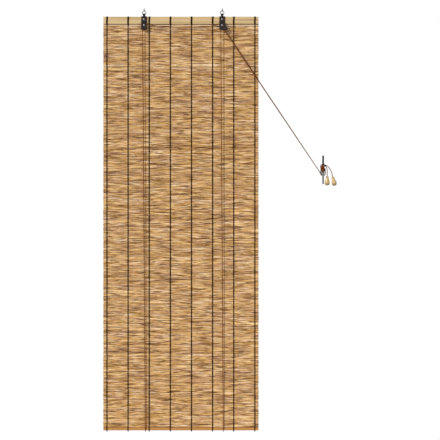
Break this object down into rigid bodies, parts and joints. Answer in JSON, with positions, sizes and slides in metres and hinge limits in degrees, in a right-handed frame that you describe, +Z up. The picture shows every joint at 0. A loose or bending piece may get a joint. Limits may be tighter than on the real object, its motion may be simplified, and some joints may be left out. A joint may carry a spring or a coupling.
{
  "type": "reed roll up blind",
  "caption": "Roll-up blind of reeds bound by dark twine under a wooden slat, hung on screw eyes, raised by cords over bracket pulleys and made off on a wall cleat.",
  "frame": {"origin": "where the left screw eye's thread enters the underside of the lintel", "axes": "+Z up along the left screw eye, +X to the right along the blind's width, -Y out of the blind's front"},
  "size_m": [0.9018, 0.0491, 1.6401],
  "materials": {
    "slat_wood": "smooth planed light wood",
    "rod_wood": "pale natural stick",
    "reed": "natural split and whole reeds, tan to brown",
    "batten_wood": "orange-brown stained wood",
    "warp_twine": "dark brown twisted twine",
    "bracket_steel": "dark bronze lacquer, satin",
    "rivet_metal": "bright rivet steel",
    "wheel_plastic": "moulded nylon",
    "eye_wire": "zinc-plated wire",
    "cord": "reddish-brown braided cord",
    "cleat_metal": "grey cast metal, satin",
    "screw_metal": "plated steel",
    "pull_wood": "turned light wood, clear lacquer"
  },
  "bodies": {
    "fixings": {"screw_eye_left": "eye_wire", "screw_eye_right": "eye_wire", "cleat": "cleat_metal", "cleat_screw_upper": "screw_metal", "cleat_screw_lower": "screw_metal", "cord_winding": "cord", "draw_cord_left": "cord", "draw_cord_right": "cord", "tail_cord_1": "cord", "tail_cord_2": "cord", "wooden_pull_1": "pull_wood", "wooden_pull_2": "pull_wood", "pull_knot_1": "cord", "pull_knot_2": "cord"},
    "blind": {"top_slat": "slat_wood", "top_rod": "rod_wood", "reed_mat": "reed", "bottom_batten": "batten_wood", "warp_string_1": "warp_twine", "warp_string_2": "warp_twine", "warp_string_3": "warp_twine", "warp_string_4": "warp_twine", "warp_string_5": "warp_twine", "warp_string_6": "warp_twine", "warp_string_7": "warp_twine", "warp_string_8": "warp_twine", "hanger_left": "bracket_steel", "hanger_right": "bracket_steel", "cheek_left": "bracket_steel", "cheek_right": "bracket_steel", "slat_rivet_left": "rivet_metal", "slat_rivet_right": "rivet_metal", "wheel_axle_left": "rivet_metal", "wheel_axle_right": "rivet_metal", "roller_pin": "rivet_metal", "cord_knot_left": "cord", "cord_knot_right": "cord", "lift_cord_left": "cord", "lift_cord_right": "cord"},
    "pulley_left": {"pulley_wheel_left": "wheel_plastic"},
    "pulley_right": {"pulley_wheel_right": "wheel_plastic"},
    "roller": {"guide_roller": "wheel_plastic"}
  },
  "joints": [
    {"name": "blind_swing", "type": "hinge", "parent": "fixings", "child": "blind", "pos_m": [0.151, 0, -0.016], "axis": [-1, 0, 0], "range_deg": [0, 20], "deforming": ["draw_cord_left", "draw_cord_right"]},
    {"name": "pulley_left_spin", "type": "hinge", "parent": "blind", "child": "pulley_left", "pos_m": [0, -0.0098, -0.0589], "axis": [0, 1, 0], "continuous": true},
    {"name": "pulley_right_spin", "type": "hinge", "parent": "blind", "child": "pulley_right", "pos_m": [0.302, -0.0098, -0.0589], "axis": [0, 1, 0], "continuous": true},
    {"name": "guide_roller_spin", "type": "hinge", "parent": "blind", "child": "roller", "pos_m": [0.3138, -0.0098, -0.0707], "axis": [0, 1, 0], "continuous": true}
  ],
  "couplings": [
    {"joint": "pulley_left_spin", "follows": "pulley_right_spin", "ratio": 1},
    {"joint": "guide_roller_spin", "follows": "pulley_right_spin", "ratio": -0.931}
  ]
}
